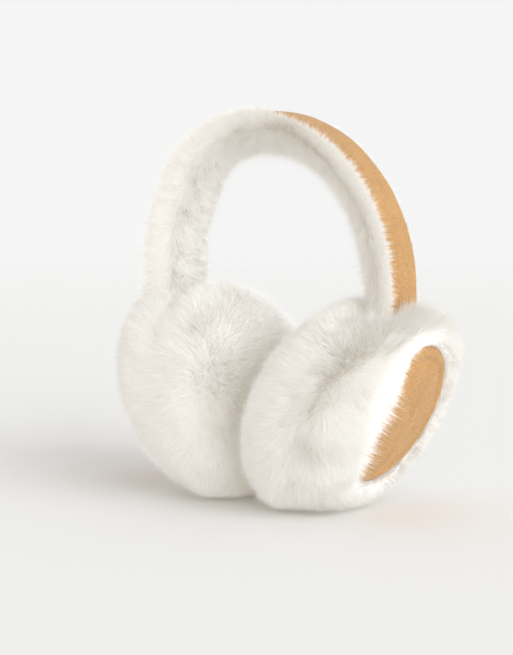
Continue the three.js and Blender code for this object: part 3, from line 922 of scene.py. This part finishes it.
def room_light(name, azimuth):
    """A pale room, brightest at the horizon, and warmer and darker on the left of a camera at this azimuth"""
    room = Shading(bpy.data.worlds.new(name), "Background")
    way = room.node("ShaderNodeTexCoord")
    height = room.clamped(room.node("ShaderNodeSeparateXYZ", {}, {0: way}, 2), 0.25, 0.85)
    turn = azimuth - WARM_TURN
    from_warm = (-math.sin(turn), math.cos(turn), 0.0)
    aside = room.node("ShaderNodeVectorMath", {"operation": "DOT_PRODUCT"}, {0: way, 1: from_warm}, 1)
    tint = room.mix(room.clamped(aside, -0.95, 0.0), WARM_SIDE, (1.0, 1.0, 1.0))
    colour = room.mix(1.0, room.mix(height, HORIZON, ZENITH), tint, "MULTIPLY")
    return room.surface(color=colour, strength=1.0)


def way_to(azimuth, elevation):
    """The way from the earmuffs to a lamp or a camera"""
    level = math.cos(elevation)
    return Vector((math.sin(azimuth) * level, -math.cos(azimuth) * level, math.sin(elevation)))


def key_lamp(name):
    """A broad cool lamp on the right"""
    lamp = bpy.data.lights.new(name, "SUN")
    lamp.energy, lamp.angle, lamp.color = KEY_STRENGTH, KEY_SPREAD, KEY_COLOUR
    key = bpy.data.objects.new(name, lamp)
    towards = way_to(KEY_AZIMUTH, KEY_ELEVATION)
    key.rotation_euler = (-towards).to_track_quat("-Z", "Y").to_euler()
    key.location = towards * KEY_DISTANCE
    return key


def photo_camera(name, settings):
    """A camera at the photograph's angle, aimed a little to the left of the middle and below it"""
    back = way_to(settings.azimuth, settings.elevation)
    right = Vector((math.cos(settings.azimuth), math.sin(settings.azimuth), 0))
    centre = Vector((MIDDLE_X, MIDDLE_Y, AIM_HEIGHT))
    aim = centre - right * AIM_LEFT - back.cross(right) * AIM_DOWN
    lens = bpy.data.cameras.new(name)
    lens.sensor_fit = "VERTICAL"
    lens.sensor_height = 36.0
    lens.lens = LENS
    lens.clip_start = 0.01
    camera = bpy.data.objects.new(name, lens)
    camera.location = centre + back * settings.distance
    camera.rotation_euler = (aim - camera.location).to_track_quat("-Z", "Y").to_euler()
    return camera


class EARMUFFS_OT_studio(bpy.types.Operator):
    """Make the pale floor, the light and the camera"""

    bl_idname = "earmuffs.studio"
    bl_label = "Studio"

    def execute(self, context):
        settings = context.scene.earmuff_studio
        scene = context.scene
        paper_sheet("studio_paper", paper_material(settings.paper))
        scene.world = room_light("studio", settings.azimuth)
        camera = photo_camera("camera", settings)
        for made in (key_lamp("key"), camera):
            scene.collection.objects.link(made)
        scene.camera = camera
        scene.view_settings.view_transform = "Standard"
        scene.view_settings.look = "None"
        return {"FINISHED"}


# Add-on


class EARMUFFS_PT_panel(bpy.types.Panel):
    """The pieces of the earmuffs"""

    bl_label = "Earmuffs"
    bl_idname = "EARMUFFS_PT_panel"
    bl_space_type = "VIEW_3D"
    bl_region_type = "UI"
    bl_category = "Earmuffs"

    def draw(self, context):
        for operator in OPERATORS:
            self.layout.operator(operator.bl_idname)
        for group in GROUPS:
            settings = getattr(context.scene, group)
            for name in settings.__annotations__:
                self.layout.prop(settings, name)


GROUPS = {"earmuff_fur": FurSettings, "earmuff_suede": SuedeSettings, "earmuff_studio": StudioSettings}
OPERATORS = [
    EARMUFFS_OT_ear_pads,
    EARMUFFS_OT_headband_fur,
    EARMUFFS_OT_headband_suede,
    EARMUFFS_OT_discs,
    EARMUFFS_OT_studio,
]


def register():
    for made in (*GROUPS.values(), *OPERATORS, EARMUFFS_PT_panel):
        bpy.utils.register_class(made)
    for name, group in GROUPS.items():
        setattr(bpy.types.Scene, name, bpy.props.PointerProperty(type=group))


def unregister():
    for name in GROUPS:
        delattr(bpy.types.Scene, name)
    for made in (EARMUFFS_PT_panel, *reversed(OPERATORS), *reversed(GROUPS.values())):
        bpy.utils.unregister_class(made)


def main():
    register()
    for operator in OPERATORS:
        group, action = operator.bl_idname.split(".")
        getattr(getattr(bpy.ops, group), action)()


if __name__ == "__main__":
    main()
